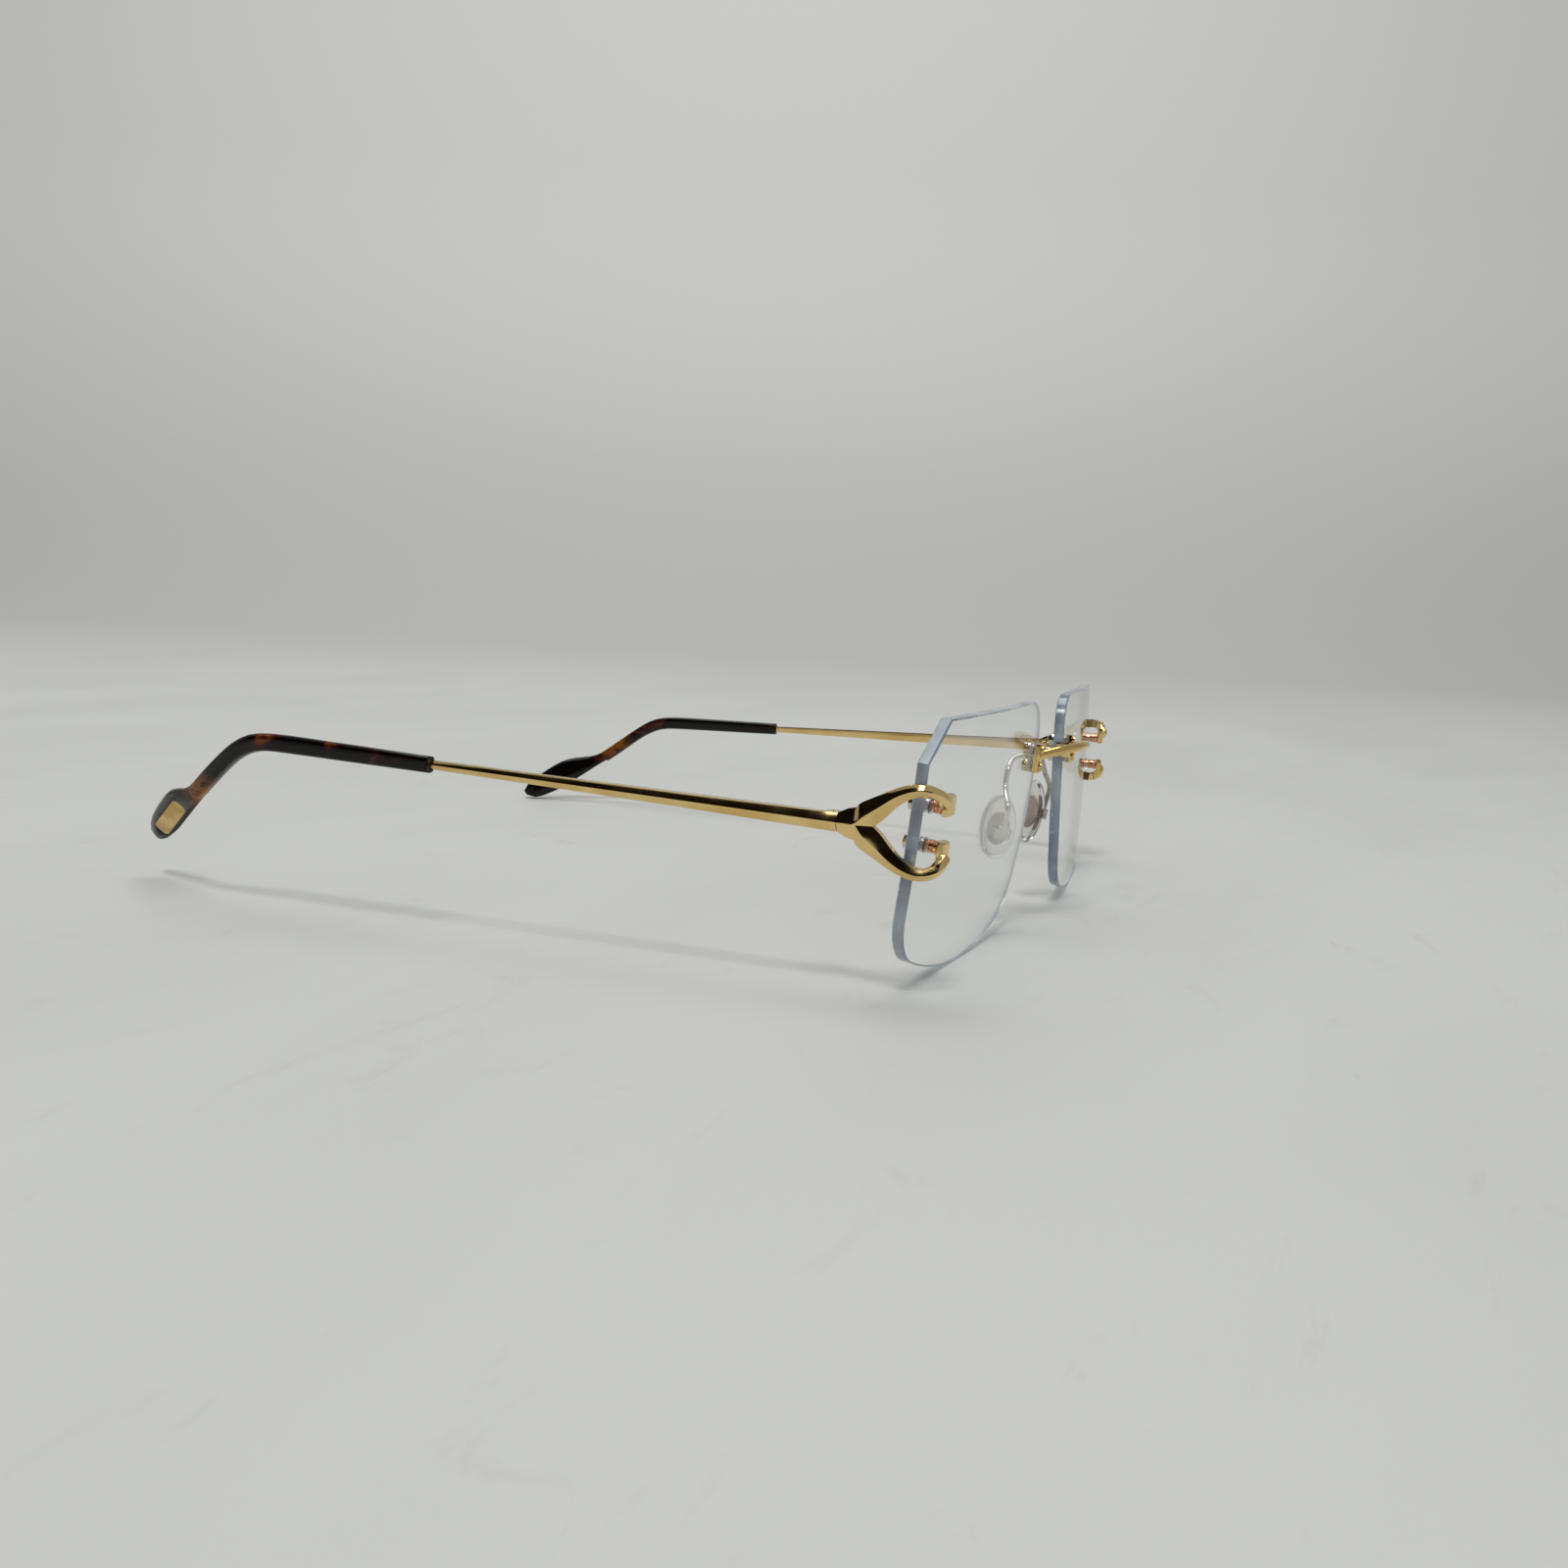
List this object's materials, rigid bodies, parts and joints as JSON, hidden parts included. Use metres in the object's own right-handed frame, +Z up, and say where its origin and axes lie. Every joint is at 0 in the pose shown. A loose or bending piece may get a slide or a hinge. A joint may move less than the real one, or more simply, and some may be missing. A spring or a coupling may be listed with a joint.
{
  "type": "rimless eyeglasses",
  "caption": "Rimless eyeglasses with drilled clear lenses, a screwed arch bridge, forked gilt end pieces, folding bar temples and dark marbled tips.",
  "frame": {"origin": "middle of the whole object's box, at the lower edges of the lenses that it stands on", "axes": "+Z up; the front of the glasses looks along -Y; the wearer's left is +X"},
  "size_m": [0.1448, 0.1516, 0.0393],
  "materials": {
    "gold": "polished gilt",
    "rose": "polished rose gilt",
    "plaque": "satin gilt",
    "silver": "polished",
    "lens": "clear, polished edges",
    "clear": "clear",
    "pad": "clear, soft",
    "frost": "frosted",
    "tortoise": "polished, dark with amber and red-brown clouds"
  },
  "bodies": {
    "front": {"bridge": "gold", "left_lens": "lens", "left_bridge_screws": "gold", "left_bridge_sleeves": "clear", "left_bridge_washers": "clear", "left_bridge_nuts": "silver", "left_endpiece": "gold", "left_endpiece_studs": "rose", "left_endpiece_sleeves": "clear", "left_endpiece_washers": "clear", "left_endpiece_nuts": "silver", "left_hinge_front_leaf": "gold", "left_hinge_screw": "gold", "left_hinge_washers": "silver", "left_pad_arm": "silver", "left_pad_box": "silver", "left_pad_screw": "silver", "right_lens": "lens", "right_bridge_screws": "gold", "right_bridge_sleeves": "clear", "right_bridge_washers": "clear", "right_bridge_nuts": "silver", "right_endpiece": "gold", "right_endpiece_studs": "rose", "right_endpiece_sleeves": "clear", "right_endpiece_washers": "clear", "right_endpiece_nuts": "silver", "right_hinge_front_leaf": "gold", "right_hinge_screw": "gold", "right_hinge_washers": "silver", "right_pad_arm": "silver", "right_pad_box": "silver", "right_pad_screw": "silver"},
    "left_temple": {"left_temple_bar": "gold", "left_hinge_rear_leaf": "gold", "left_temple_tip": "tortoise", "left_tip_plaque": "plaque"},
    "left_pad": {"left_nose_pad": "pad", "left_pad_insert": "frost"},
    "right_temple": {"right_temple_bar": "gold", "right_hinge_rear_leaf": "gold", "right_temple_tip": "tortoise", "right_tip_plaque": "plaque"},
    "right_pad": {"right_nose_pad": "pad", "right_pad_insert": "frost"}
  },
  "joints": [
    {"name": "left_temple_hinge", "type": "hinge", "parent": "front", "child": "left_temple", "pos_m": [0.0635, -0.05194, 0.02397], "axis": [0, 0, 1], "range_deg": [0, 90]},
    {"name": "right_temple_hinge", "type": "hinge", "parent": "front", "child": "right_temple", "pos_m": [-0.0635, -0.05194, 0.02397], "axis": [0, 0, -1], "range_deg": [0, 88]},
    {"name": "left_pad_pivot", "type": "hinge", "parent": "front", "child": "left_pad", "pos_m": [0.01287, -0.06502, 0.01685], "axis": [0.5, 0.866, 0], "range_deg": [-6, 6]},
    {"name": "right_pad_pivot", "type": "hinge", "parent": "front", "child": "right_pad", "pos_m": [-0.01287, -0.06302, 0.01685], "axis": [0.5, -0.866, 0], "range_deg": [-6, 6]}
  ]
}
